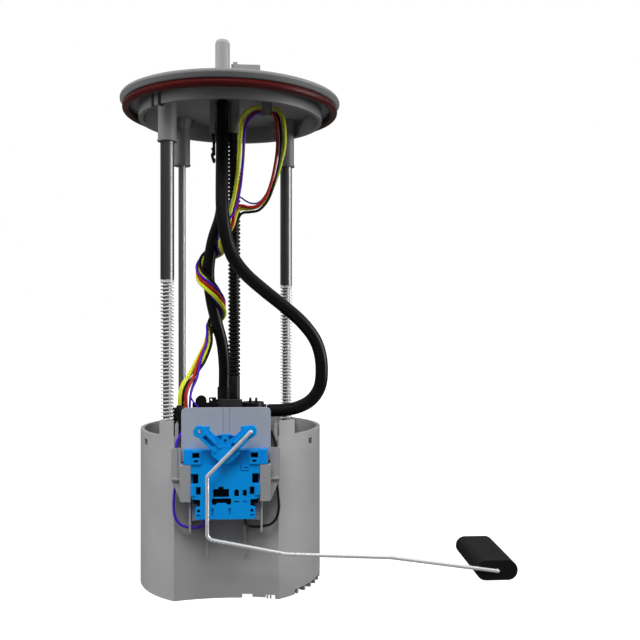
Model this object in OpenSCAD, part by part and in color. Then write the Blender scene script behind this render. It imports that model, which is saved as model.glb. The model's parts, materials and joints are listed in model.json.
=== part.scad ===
// In-tank fuel pump module: a flange with its pipe and plug, three guide rods,
// two springs, and a reservoir pot that holds the pump and the level sensor.
// Millimetres, +Z up. The origin is on the flange axis, on the plane the pot stands on.
// -Y is the side with the level sensor.

/* [Flange] */
// Outer diameter of the flange rim
flange_d = 146; // [144:0.5:150]
// Height of the rim's upper face above the base, springs extended
flange_top = 318; // [314:0.5:322]
// Thickness of the rim
rim_t = 5; // [4:0.5:6]
// Outer diameter of the skirt that plugs into the tank
skirt_d = 122; // [120:0.5:124]
// Depth of the skirt below the rim
skirt_h = 9.2; // [8:0.2:11]
// Cross-section of the seal ring
seal_d = 5; // [4:0.25:5.5]

/* [Fuel port] */
// Outer diameter of the fuel pipe
port_d = 9.5; // [7.9:0.1:11.8]
// Height of the fuel pipe's mouth above the rim
port_h = 36.4; // [30:0.2:40]

/* [Guides and springs] */
// Distance of each rod from the middle plane, left to right
rod_x = 37.5; // [36:0.5:38]
// Distance of each rod from the middle plane, front to back
rod_y = 38.5; // [37:0.5:39]
// Diameter of the guide rods
rod_d = 5.2; // [4.8:0.1:5.4]
// Outer diameter of the sleeves over two of the rods
sleeve_d = 8.5; // [8:0.1:9]
// Outer diameter of the springs
spring_d = 8.5; // [7.6:0.1:8.8]
// Wire diameter of the springs
spring_wire = 0.85; // [0.7:0.05:1]

/* [Reservoir] */
// Outer diameter of the pot
pot_d = 119.5; // [119:0.5:122]
// Height of the pot's rim
pot_h = 100; // [98:0.5:102]
// Thickness of the pot's wall
wall = 2.6; // [2.2:0.1:3]

/* [Level sensor] */
// Diameter of the float arm's wire
arm_d = 2.2; // [1.8:0.1:2.2]
// Length of the float, front to back
float_l = 53; // [45:1:56]
// Width of the float
float_w = 25.3; // [22:0.1:27]
// Height of the float
float_h = 11.9; // [10:0.1:13]

/* [Hidden] */
rim_lo = flange_top - rim_t;
lid_lo = flange_top - 3;
skirt_lo = rim_lo - skirt_h;
rods = [[-rod_x, -rod_y], [-rod_x, rod_y], [rod_x, rod_y]];
sprung = [[-rod_x, -rod_y], [rod_x, rod_y]];
tower_h = 96;          // the springs stand here
sleeve_lo = 196.2;     // the sleeves end here
boss_lo = 282;         // the rod bosses end here
rod_lo = 66;
clip_z = 69;
port_xy = [-4.9, -14];
return_xy = [2.6, -11];
concave_r = 115;       // the pot's hollowed front
concave_y = -161.2;
pump_xy = [-5, 6];
pivot = [0.2, 0, 90.3];
float_c = [162.4, 0, 20.9];

grey = [0.60, 0.60, 0.61];
plate_grey = [0.56, 0.59, 0.64];
black = [0.06, 0.06, 0.065];
steel = [0.62, 0.62, 0.63];
blue = [0.02, 0.50, 0.86];
brass = [0.80, 0.62, 0.28];
lead_yellow = [0.80, 0.84, 0.15];
lead_red = [0.66, 0.12, 0.10];
lead_purple = [0.26, 0.12, 0.75];

// Route points: round numbers along each hose and wire
hose_a = [[-4.9, -14, 314.8], [-5, -14, 299], [-4.9, -17, 284], [-4.6, -24, 262], [-4.1, -30, 245], [-3, -32.5, 233.5], [-0.8, -33.5, 221.5], [3.3, -33.5, 210.2], [10.9, -33, 200.1], [22.2, -31.5, 190.1], [34.9, -29, 180], [46.6, -26, 169.7], [54.8, -23.5, 159.3], [58.8, -21.5, 148.9], [60, -19.5, 137], [58.5, -18, 126.5], [53, -17, 118.4], [44.5, -16, 113.7], [35, -16, 112], [24.1, -16, 111.7]];
hose_b = [[-5.5, -4, 311], [-5.5, -4, 284.5], [-5.6, -3.5, 258], [-6.8, -3.5, 241.5], [-11.6, -3.5, 226], [-14.1, -3, 213], [-15, -2.5, 200.5], [-13, -2, 184], [-9.8, 0, 169.5], [-6.4, 3, 155.5], [-5, 5.5, 140.5], [-5, 6, 126.5], [-5, 6, 115]];
loom = [[2.2, -23, 240], [1.4, -23, 234], [-0.6, -22.5, 229.5], [-3.4, -19, 225.5], [-5.4, -13.8, 222], [-6.3, -8, 219.6], [-6.2, -3, 218.8], [-8.8, 1.9, 217], [-14.2, 3.4, 214.3], [-19.2, 1.7, 209.5], [-21.3, -2.6, 203.5], [-19.3, -7, 198], [-14.2, -8.8, 192.8], [-8.8, -6.7, 186.8], [-5.9, -1.6, 180.6], [-6.6, 3.7, 175.5], [-10.2, 6.3, 171], [-13.8, 5.2, 166.8], [-15, 1, 161.5], [-16.2, -4, 154], [-20, -12, 144.5]];
yellow_a_top = [[20, -10, 312.3], [16.5, -10.8, 311.8], [13, -12.3, 309.8], [10, -14.8, 306.7], [7.8, -18, 300.3], [7, -21, 289.5], [6.3, -22.6, 277.5], [5.3, -23.6, 264.5], [3.6, -24.5, 252.5], [2, -24.7, 245.5]];
red_a_top = [[20, -10, 309.5], [16.5, -11, 308.8], [12.8, -13, 305.4], [10.5, -16, 299.8], [9.5, -19.2, 291], [8.9, -21.2, 277.5], [7.8, -22.2, 264.5], [6, -23, 252.5], [4.7, -23.5, 246]];
purple_a_top = [[20, -12, 307.5], [17, -14, 306.5], [13.5, -17, 303], [11, -21, 298], [9.5, -24.5, 288], [9, -26, 273.5], [8, -26.5, 261], [6.6, -26.8, 251.5], [5, -27, 245], [2.7, -27.2, 239.5], [-0.1, -27.2, 235.2], [-3, -25.3, 232.3], [-4.9, -21, 231.4], [-4.6, -16.5, 230.2], [-3.1, -12.4, 228.6], [-2.9, -9.3, 226.6]];
yellow_b_top = [[28.2, -10, 311.5], [31, -10.9, 310.6], [33.6, -12.4, 307], [35.4, -14, 300.5], [35.8, -16, 286], [33.5, -16, 275], [30.5, -16, 264.5], [25.5, -16.5, 253.5], [19, -17, 246], [12.5, -17.8, 243.8], [8.2, -18.8, 243.6], [5.2, -20, 241.7], [3.8, -20.9, 238]];
black_b_top = [[28.2, -10, 308.8], [30.4, -10.8, 307.6], [32, -12.2, 304], [33, -14.2, 298], [33.6, -16.4, 291.5], [33.4, -18.2, 284], [31.9, -18.4, 273], [29.4, -18.6, 262], [25.5, -19, 250.5], [19.5, -19, 243], [13, -19, 241.3], [9, -19, 240.9], [6.3, -19.4, 238.6]];
red_b_top = [[28, -12.3, 308.5], [29.4, -13, 305.6], [30.4, -14.3, 301], [31, -15.6, 292], [30.8, -17, 282], [29.3, -19.5, 271], [27, -20.2, 260.5], [23.3, -20.2, 251], [18, -20.2, 245.4], [12.5, -20.7, 244.3], [9, -21, 245], [5.8, -21.3, 245], [3.3, -21.5, 243.3]];
purple_b_top = [[27.9, -7.5, 309.5], [29.2, -8, 306.5], [30.6, -10.2, 301], [31, -12.8, 292], [30.7, -15.3, 282], [29.5, -17.3, 271], [27.1, -18, 260.5], [23.2, -18.4, 252.5], [18.9, -18.6, 247.7], [14.3, -19, 247], [10.6, -19.6, 248.4], [7.2, -20.4, 250.6], [3.6, -21.2, 251.2], [0.8, -21.4, 248.3], [-0.6, -22.2, 243]];
yellow_a_end = [[-26, -25, 135], [-29.3, -30.5, 129], [-30.5, -32, 123], [-30.6, -32, 117.2]];
red_a_end = [[-22.5, -25, 135], [-25.3, -30, 128.5], [-26.8, -32, 123], [-26.6, -32.5, 112], [-26.6, -32.5, 100.3]];
purple_a_end = [[-20.2, -25.5, 134.5], [-22.9, -29.8, 127.5], [-24, -32.3, 121.5], [-24.2, -33, 112], [-24.2, -33, 100.3]];
yellow_b_end = [[-21.6, -17.2, 136.5], [-24.7, -20.6, 131.8], [-26.9, -23.2, 126.5], [-27.7, -24.6, 120.5], [-27.2, -23, 112.5], [-25.4, -17.5, 107], [-23, -10, 105], [-19.8, -4, 105]];
red_b_end = [[-22.1, -12.8, 140.2], [-25.2, -15.8, 136], [-28.4, -20.4, 131.2], [-30.8, -23.2, 126], [-31.6, -24.2, 120], [-31.6, -24.2, 110], [-31.6, -24.2, 100.3]];
black_b_end = [[-18.9, -17.8, 139.8], [-22.1, -20.6, 135.6], [-26, -24.6, 131.2], [-28.2, -26.8, 127], [-29.2, -27.6, 121.5], [-29.4, -27.6, 111], [-29.4, -27.6, 100.3]];
purple_b_end = [[-20.2, -11, 138.6], [-22, -15, 134.2], [-24.2, -22.4, 127], [-24.3, -27.4, 122.8], [-22.2, -30, 119], [-18.4, -30.8, 114.6], [-15.8, -27.5, 107.5], [-15, -8.5, 105]];
lead_l = [[-24.5, -38, 98.2], [-24.5, -38.4, 101.4], [-24.6, -42.6, 103.4], [-25.4, -46.6, 103.8], [-26.9, -50.6, 102.8], [-28.7, -53.6, 99.6], [-30, -54.5, 95], [-30.2, -54.7, 86], [-30.2, -54.7, 76], [-31.2, -54.8, 65], [-31.4, -55, 57.5], [-30.2, -55, 51.5], [-27, -55, 47.6], [-22, -55, 46.1], [-16.5, -55.5, 46.1], [-13.2, -57.6, 48.2], [-12.5, -59, 52]];
lead_r = [[24.5, -38, 98.2], [24.5, -38.4, 101.4], [24.6, -42.6, 103.4], [25.4, -46.6, 103.8], [26.9, -50.6, 102.8], [28.7, -53.6, 99.6], [30, -54.5, 95], [30.2, -54.7, 86], [30.2, -54.7, 76], [31.4, -54.8, 65], [31.9, -55, 57.5], [30.6, -55, 51.5], [27.4, -55, 47.6], [22, -55, 46.1], [15.8, -55.5, 46.1], [12.2, -57.6, 48.2], [11.5, -59, 52]];

// A smooth curve through the points, k steps for each pair
function spline_at(p, i, t) = let (n = len(p), b = p[i], c = p[i + 1], a = i > 0 ? p[i - 1] : 2 * b - c, d = i + 2 < n ? p[i + 2] : 2 * c - b)
    0.5 * (2 * b + (c - a) * t + (2 * a - 5 * b + 4 * c - d) * t * t + (3 * b - 3 * c + d - a) * t * t * t);
function spline(p, k) = concat([for (i = [0:len(p) - 2]) for (j = [0:k - 1]) spline_at(p, i, j / k)], [p[len(p) - 1]]);
function unit(v) = v / norm(v);
function heading(p, i) = unit(p[min(i + 1, len(p) - 1)] - p[max(i - 1, 0)]);
// Each route point, from number first on, moved upwards along the inner hose by a and away from its axis by b
function core(z) = [lookup(z, [for (q = hose_b) [q[2], q[0]]]), lookup(z, [for (q = hose_b) [q[2], q[1]]]), z];
function around(p, a, b, first) = [for (i = [first:len(p) - 1]) let (t = heading(p, i), q = p[i] - core(p[i][2]), w = unit(q - (q * t) * t)) p[i] + a * cross(w, t) + b * w];

// A round tube of radius r along the route p, with n sides
module sweep(p, r, n) {
    m = len(p);
    ring = [for (i = [0:m - 1]) let (t = heading(p, i), u = unit(cross(t, [0, 1, 0])), w = cross(t, u))
        for (j = [0:n - 1]) p[i] + r * (cos(360 * j / n) * u + sin(360 * j / n) * w)];
    side = [for (i = [0:m - 2]) for (j = [0:n - 1]) let (k = (j + 1) % n)
        each [[i * n + j, (i + 1) * n + j, (i + 1) * n + k], [i * n + j, (i + 1) * n + k, i * n + k]]];
    polyhedron(ring, concat([[for (j = [0:n - 1]) j]], side, [[for (j = [n - 1:-1:0]) (m - 1) * n + j]]), convexity = 6);
}

// A coil of wire: mean radius r, wire radius w, from z0 to z1
module coil(r, w, z0, z1, turns, seg, n) {
    m = round(turns * seg);
    ring = [for (i = [0:m]) let (q = 360 * i / seg, z = z0 + (z1 - z0) * i / m)
        for (j = [0:n - 1]) let (c = r + w * cos(360 * j / n + 45)) [c * cos(q), c * sin(q), z + w * sin(360 * j / n + 45)]];
    side = [for (i = [0:m - 1]) for (j = [0:n - 1]) let (k = (j + 1) % n)
        each [[i * n + j, (i + 1) * n + k, (i + 1) * n + j], [i * n + j, i * n + k, (i + 1) * n + k]]];
    polyhedron(ring, concat([[for (j = [n - 1:-1:0]) j]], side, [[for (j = [0:n - 1]) m * n + j]]), convexity = 10);
}

// A bar of square section size s between two points in a plane of constant y
module bar(a, b, r) {
    d = b - a;
    translate(a) rotate([0, atan2(norm([d[0], d[1]]), d[2]), atan2(d[1], d[0])]) cylinder(r = r, h = norm(d), $fn = 32);
}

module box(lo, hi) { translate(lo) cube(hi - lo); }

// Extrudes a shape drawn in X and Z from y0 to y1
module front_shape(y0, y1) { translate([0, y1, 0]) rotate([90, 0, 0]) linear_extrude(y1 - y0) children(); }

// ---------------------------------------------------------------- flange side

module flange_cover() color(grey) difference() {
    union() {
        rotate_extrude($fn = 128) polygon([[0, lid_lo], [skirt_d / 2 - 3, lid_lo], [skirt_d / 2 - 3, skirt_lo + 0.8], [skirt_d / 2 - 2.4, skirt_lo],
            [skirt_d / 2, skirt_lo], [skirt_d / 2, rim_lo], [flange_d / 2 - 2.2, rim_lo], [flange_d / 2 - 1.5, rim_lo + 0.4], [flange_d / 2, rim_lo + 2.6],
            [flange_d / 2, flange_top - 1.4], [flange_d / 2 - 0.5, flange_top - 0.5], [flange_d / 2 - 1.6, flange_top], [0, flange_top]]);
        // raised ring and ribs on the upper face
        rotate_extrude($fn = 96) translate([50, flange_top - 0.2]) square([2, 1.7]);
        for (a = [20:40:340]) rotate([0, 0, a]) box([30, -0.8, flange_top - 0.2], [51, 0.8, flange_top + 1.2]);
        // rod bosses, each with four small webs
        for (p = rods) translate([p[0], p[1], 0]) {
            translate([0, 0, boss_lo]) cylinder(r = 5.75, h = lid_lo - boss_lo + 0.2, $fn = 64);
            translate([0, 0, boss_lo]) cylinder(r = 6.1, h = 1.2, $fn = 64);
            translate([0, 0, lid_lo - 7]) cylinder(r1 = 5.75, r2 = 7.2, h = 7.2, $fn = 64);
        }
        for (p = rods) intersection() {
            translate([p[0], p[1], 0]) for (a = [0, 90]) rotate([0, 0, a]) box([-10.5, -0.8, lid_lo - 6], [10.5, 0.8, lid_lo + 0.2]);
            cylinder(r = skirt_d / 2 - 1, h = flange_top, $fn = 96);
        }
        // collars that the hoses end against
        translate([-5.5, -4, 311.1]) cylinder(r = 4.3, h = lid_lo - 311, $fn = 48);
        translate([return_xy[0], return_xy[1], 294]) cylinder(r = 3.4, h = lid_lo - 293.9, $fn = 48);
        // outlet for the wires, and the post of the hose clip
        translate([24, -10, 306]) cylinder(r = 3.4, h = lid_lo - 305.9, $fn = 40);
        box([-13.4, -13.4, 293.9], [-9.8, -8.4, lid_lo + 0.1]);
        // socket wall that the plug housing stands in, and the pipe's root
        box([-1.3, -11, flange_top - 0.2], [21.3, 13, flange_top + 3]);
        translate([port_xy[0], port_xy[1], flange_top - 0.2]) cylinder(r1 = 8, r2 = 6.6, h = 4.2, $fn = 64);
    }
    for (p = rods) translate([p[0], p[1], boss_lo - 1]) cylinder(r = rod_d / 2, h = 31, $fn = 48);
    // bore for the pipe, open to the first hose
    translate([port_xy[0], port_xy[1], 300]) cylinder(r = 2.6, h = 30, $fn = 40);
    translate([port_xy[0], port_xy[1], lid_lo - 1]) cylinder(r = port_d / 2 - 0.7, h = 20, $fn = 64);
    translate([-5.5, -4, 300]) cylinder(r = 2.6, h = 16.2, $fn = 40);
    translate([return_xy[0], return_xy[1], 290]) cylinder(r = 2.4, h = 26.2, $fn = 40);
    // seat of the plug housing
    box([0.3, -9.2, flange_top], [19.7, 11.2, flange_top + 5]);
    translate([-11.4, -10.8, 293]) cylinder(r = 1.04, h = 7, $fn = 24);
    // two slots in the skirt's front edge, left
    for (a = [220.6, 227.3]) rotate([0, 0, a]) box([skirt_d / 2 - 4, -1.5, skirt_lo - 1], [skirt_d / 2 + 1, 1.5, rim_lo - 0.5]);
}

module seal_ring() color([0.42, 0.07, 0.08]) rotate_extrude($fn = 128) translate([69, rim_lo - seal_d / 2]) circle(r = seal_d / 2, $fn = 32);

module fuel_port() color(grey) translate([port_xy[0], port_xy[1], 0]) rotate_extrude($fn = 64) let (r = port_d / 2, top = flange_top + port_h) polygon([
    [r - 1.55, lid_lo + 0.1], [r - 0.7, lid_lo + 0.1], [r - 0.7, flange_top + 4.3], [r, flange_top + 4.3], [r, top - 2], [r - 0.5, top - 0.8], [r - 1.1, top], [r - 1.2, top], [r - 1.55, top - 0.8]]);

module connector_shell() color(grey) difference() {
    union() {
        box([0.5, -9, flange_top], [19.5, 11, 340.7]);
        box([1.8, -10.4, 330], [4.6, -8.9, 341.8]);
        box([0.2, -9, 336], [19.8, 11, 337.4]);
    }
    box([2.3, -7.2, 323.5], [17.7, 9.2, 344]);
}

module connector_pins() color(brass) for (x = [5.2, 9, 12.8]) for (y = [-3.2, 3.8]) box([x - 0.4, y - 0.9, 323.5], [x + 0.4, y + 0.9, 334]);

module guide_rods() color(steel) for (p = rods) translate([p[0], p[1], 0]) difference() {
    union() {
        translate([0, 0, rod_lo + 0.8]) cylinder(r = rod_d / 2, h = 311.8 - rod_lo, $fn = 48);
        translate([0, 0, rod_lo]) cylinder(r1 = rod_d / 2 - 0.8, r2 = rod_d / 2, h = 0.8, $fn = 48);
    }
    translate([0, 0, clip_z - 0.1]) difference() { cylinder(r = 4, h = 1.1, $fn = 48); translate([0, 0, -1]) cylinder(r = rod_d / 2 - 0.5, h = 4, $fn = 48); }
}

module rod_sleeves() color([0.45, 0.45, 0.46]) for (p = sprung) translate([p[0], p[1], sleeve_lo]) difference() {
    cylinder(r = sleeve_d / 2, h = boss_lo - sleeve_lo, $fn = 64);
    translate([0, 0, -1]) cylinder(r = rod_d / 2 + 0.05, h = 100, $fn = 48);
}

module rod_clips() color(steel) for (p = rods) translate([p[0], p[1], clip_z]) difference() {
    cylinder(r = 3.8, h = 0.9, $fn = 40);
    translate([0, 0, -1]) cylinder(r = rod_d / 2 - 0.48, h = 3, $fn = 40);
    box([0, -1.6, -1], [5, 1.6, 2]);
}

module hose_clip() color(black) {
    front_shape(-12.3, -9.4) polygon([[-12.6, 293.8], [-11.6, 289.2], [-11.6, 284.4], [-12.7, 284.4], [-11.8, 281.5], [-12.7, 280.5], [-12.7, 278.6], [-11.5, 274.8], [-10.3, 274.8],
        [-9.9, 275.6], [-9.9, 277.4], [-10.9, 278], [-10.9, 279.4], [-9.9, 280.2], [-9.9, 288.6], [-10.4, 290.4], [-9.9, 293.8]]);
    translate([-11.4, -10.8, 293.5]) cylinder(r = 1, h = 6, $fn = 24);
}

// ------------------------------------------------- springs, hoses and wires

module coil_springs() color([0.70, 0.70, 0.71]) for (p = sprung) translate([p[0], p[1], 0]) {
    coil(spring_d / 2 - spring_wire / 2, spring_wire / 2, tower_h + spring_wire / 2 + 0.05, sleeve_lo - spring_wire / 2 - 0.05, 46, 9, 4);
}

module regulator_hose() color(black) sweep(spline(hose_a, 3), 4.15, 12);

module supply_hose() color(black) sweep(spline(hose_b, 4), 3.95, 12);

module return_hose() color(black) translate([return_xy[0], return_xy[1], 0]) {
    translate([0, 0, 114.5]) cylinder(r = 3.75, h = 20.1, $fn = 40);
    translate([0, 0, 288.1]) cylinder(r = 3.75, h = 5.85, $fn = 40);
    rotate_extrude($fn = 40) polygon(concat([[0, 134.5]], [for (i = [0:57]) each [[3, 134.5 + 2.65 * i], [4.05, 135.1 + 2.65 * i], [4.05, 136 + 2.65 * i], [3, 136.6 + 2.65 * i]]], [[3, 288.2], [0, 288.2]]));
}

module wire_yellow() color(lead_yellow) sweep(spline(concat(yellow_a_top, around(loom, -2, 0.9, 0), yellow_a_end), 2), 1.3, 8);
module wire_red() color(lead_red) sweep(spline(concat(red_a_top, around(loom, 0.6, 1.2, 0), red_a_end), 2), 1, 8);
module wire_purple() color(lead_purple) sweep(spline(concat(purple_a_top, around(loom, 2.75, 1.45, 6), purple_a_end), 2), 0.75, 8);
module loop_yellow() color(lead_yellow) sweep(spline(concat(yellow_b_top, around(loom, 1.95, -0.95, 1), yellow_b_end), 2), 1.25, 8);
module loop_red() color(lead_red) sweep(spline(concat(red_b_top, around(loom, -0.5, -1.2, 0), red_b_end), 2), 1, 8);
module loop_black() color(black) sweep(spline(concat(black_b_top, around(loom, 4.3, -1.25, 1), black_b_end), 2), 0.9, 8);
module loop_purple() color(lead_purple) sweep(spline(concat(purple_b_top, around(loom, -2.2, -1.55, 1), purple_b_end), 2), 0.55, 8);

// ------------------------------------------------------------- reservoir side

module pot_outline(r, cut, z0, z1) difference() {
    translate([0, 0, z0]) cylinder(r = r, h = z1 - z0, $fn = 128);
    translate([0, concave_y, z0 - 1]) cylinder(r = cut, h = z1 - z0 + 2, $fn = 256);
}

module reservoir_pot() color(grey) difference() {
    union() {
        difference() {
            pot_outline(pot_d / 2, concave_r, 0, pot_h);
            pot_outline(pot_d / 2 - wall, concave_r + wall, 6.5, pot_h + 1);
            pot_outline(pot_d / 2 - wall, concave_r + wall, -1, 4);
        }
        // standing pad and ribs under the floor
        cylinder(r = 9, h = 4.1, $fn = 64);
        for (a = [30:60:330]) rotate([0, 0, a]) box([8, -0.8, 1.2], [a > 180 && a < 360 ? 46 : 57.8, 0.8, 4.1]);
        // raised wall pieces on both sides of the sensor plate
        intersection() {
            difference() { translate([0, 0, pot_h - 2]) cylinder(r = pot_d / 2, h = 12, $fn = 128); translate([0, 0, pot_h - 3]) cylinder(r = pot_d / 2 - wall, h = 14, $fn = 128); }
            union() for (s = [-1, 1]) front_shape(-60, -38) polygon([[s * 32, pot_h - 2], [s * 32, pot_h + 9], [s * 41.3, pot_h + 9], [s * 41.7, pot_h + 8.6], [s * 41.7, pot_h - 2]]);
        }
        // pointed tabs beside them
        for (s = [-1, 1]) front_shape(-52.3, -49.6) polygon([[s * 29, pot_h - 3], [s * 29, pot_h + 7.5], [s * 30, pot_h + 9.4], [s * 31, pot_h + 7.5], [s * 31, pot_h - 3]]);
        // guide towers
        for (p = rods) translate([p[0], p[1], 5]) cylinder(r = 6, h = tower_h - 5, $fn = 64);
        // sensor guides: side wall, face, thin rail, wire channel, ledge and web
        for (s = [-1, 1]) {
            front_shape(-62, -60) polygon([[s * 20.5, 62.8], [s * 26.5, 62.8], [s * 27, 63.4], [s * 27, 84.6], [s * 20.5, 84.6]]);
            front_shape(-60.1, -48) polygon([[s * 25.7, 62.8], [s * 26.9, 62.8], [s * 26.9, 84.6], [s * 25.7, 84.6]]);
            difference() {
                front_shape(-58.5, -45.5) polygon([[s * 20.8, 44.5], [s * 21.2, 43], [s * 22, 44.5], [s * 22, 85.3], [s * 20.8, 85.3]]);
                box([min(s * 20, s * 23), -56.6, 44.5], [max(s * 20, s * 23), -53.4, 49.4]);
                box([min(s * 20, s * 23), -59, 62.4], [max(s * 20, s * 23), -50.2, 90]);
            }
            front_shape(-58, -56.8) polygon([[s * 28.8, 76], [s * 32.4, 76], [s * 32.4, 94.2], [s * 28.8, 94.2]]);
            front_shape(-57.4, -56.4) polygon([[s * 26.8, 76], [s * 28.9, 76], [s * 28.9, 94.2], [s * 26.8, 94.2]]);
            front_shape(-57, -47) polygon([[s * 31.2, 76], [s * 32.4, 76], [s * 32.4, 94.2], [s * 31.2, 94.2]]);
            front_shape(-59.6, -56.8) polygon([[s * 26.8, 75.3], [s * 32.4, 75.3], [s * 32.4, 76.3], [s * 26.8, 76.3]]);
            front_shape(-58, -56.8) polygon([[s * 26.8, 62.8], [s * 27.2, 62.8], [s * 32.4, 75.4], [s * 26.8, 75.4]]);
        }
        // ribs down the hollowed front
        for (x = [-12, 11]) front_shape(-52.3, -45.5) polygon([[x - 0.6, 40], [x, 38], [x + 0.6, 40], [x + 0.6, 95], [x - 0.6, 95]]);
        for (x = [-12, 11]) front_shape(-47.9, -45.5) polygon([[x - 0.6, 26], [x, 24], [x + 0.6, 26], [x + 0.6, 41], [x - 0.6, 41]]);
        // blocks inside that carry the deck
        for (x = [-12, 12]) box([x - 3, -45.5, 84], [x + 3, -40, 96.9]);
        box([-8, 48, 84], [4, 57.8, 96.9]);
        // short ribs under the raised part of the lower edge
        for (a = [-43:7:-1]) rotate([0, 0, a]) box([55.5, -0.7, 0], [pot_d / 2 - 0.1, 0.7, 5]);
    }
    // lower edge: the notch in front and the raised part to the right
    difference() {
        union() {
            box([9.2, -60, -1], [29.5, -40, 2.4]);
            rotate([0, 0, -45.5]) rotate_extrude(angle = 46.5, $fn = 128) polygon([[57, -1], [61, -1], [61, 3], [57, 3]]);
        }
        for (a = [-43:7:-1]) rotate([0, 0, a]) box([55, -0.7, -2], [62, 0.7, 5]);
        box([15.6, -52, 0.7], [23.8, -44, 3]);
        for (x = [24.8, 26.8]) box([x - 0.5, -52, -0.2], [x + 0.5, -44, 3]);
    }
    // rod guides, with room below for the clips
    for (p = rods) translate([p[0], p[1], 0]) {
        translate([0, 0, 60]) cylinder(r = rod_d / 2 + 0.05, h = 40, $fn = 48);
        translate([0, 0, 9]) cylinder(r = 4.3, h = 61, $fn = 48);
    }
    for (p = sprung) translate([p[0], p[1], tower_h]) cylinder(r = 4.6, h = 20, $fn = 48);
    // small square windows near the rim
    for (s = [-1, 1]) rotate([0, 0, s * 60.6]) translate([0, -pot_d / 2, 93.7]) cube([4.2, 12, 3.8], center = true);
    // stem hole and inlets of the foot valve
    translate([0, 0, 2]) cylinder(r = 2.05, h = 10, $fn = 40);
    for (a = [0:45:315]) rotate([0, 0, a + 10]) translate([12.5, 0, -1]) cylinder(r = 2, h = 12, $fn = 32);
}

module foot_valve() color([0.10, 0.10, 0.11]) union() {
    translate([0, 0, 2.2]) cylinder(r = 2, h = 5, $fn = 40);
    rotate_extrude($fn = 64) polygon([[0, 6.6], [15.5, 6.6], [15.5, 7], [8, 7.8], [0, 8.4]]);
}

module sensor_plate() color(plate_grey) difference() {
    union() {
        front_shape(-55, -52.6) difference() {
            union() {
                polygon([[-26.9, 86], [26.9, 86], [26.9, 115.5], [26.2, 117.2], [24.4, 118], [-24.4, 118], [-26.2, 117.2], [-26.9, 115.5]]);
                polygon([[-25.3, 62.8], [-20.5, 62.8], [-20.5, 50], [20.5, 50], [20.5, 62.8], [25.3, 62.8], [25.3, 86.1], [-25.3, 86.1]]);
            }
        }
        for (x = [-15, 15]) box([x - 1, -52.7, 100.6], [x + 1, -48.6, 116]);
    }
    for (x = [-1.8, 2.1]) box([x - 0.2, -55.2, 60], [x + 0.2, -54.7, 120]);
}

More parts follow.
